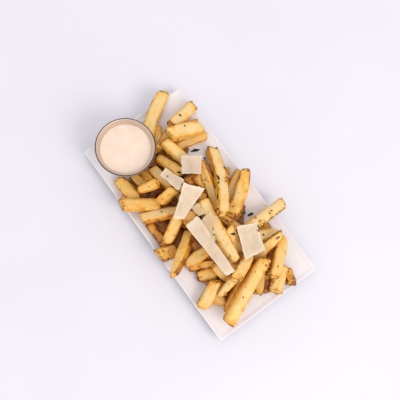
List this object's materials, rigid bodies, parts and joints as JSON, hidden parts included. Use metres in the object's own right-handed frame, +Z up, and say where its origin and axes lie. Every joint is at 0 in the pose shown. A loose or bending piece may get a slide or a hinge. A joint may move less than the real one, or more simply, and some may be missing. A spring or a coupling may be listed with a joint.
{
  "type": "portion of french fries on a plate",
  "caption": "Loose heap of skin-on french fries with cheese shavings and herb flecks on a flat rectangular plate, with a small round flared cup of pale dip.",
  "frame": {"origin": "middle of the plate's underside, on the surface it stands on", "axes": "+X along the plate's long side, away from the sauce cup; +Y across the plate; +Z up"},
  "size_m": [0.2636, 0.1519, 0.0613],
  "materials": {
    "plate": "smooth white glaze",
    "steel": "spun stainless steel, soft shine",
    "dip": "smooth creamy dip, satin",
    "fried_potato": "golden fried potato with browned edges, slightly oily",
    "cheese": "hard cheese shaved thin, slightly see-through"
  },
  "bodies": {
    "root": {"plate": "plate", "sauce_cup": "steel", "dip": "dip", "fries": "fried_potato", "cheese_shaving_1": "cheese", "cheese_shaving_2": "cheese", "cheese_shaving_3": "cheese", "cheese_shaving_4": "cheese", "cheese_shaving_5": "cheese", "cheese_shaving_6": "cheese", "cheese_shaving_7": "cheese"}
  },
  "joints": []
}
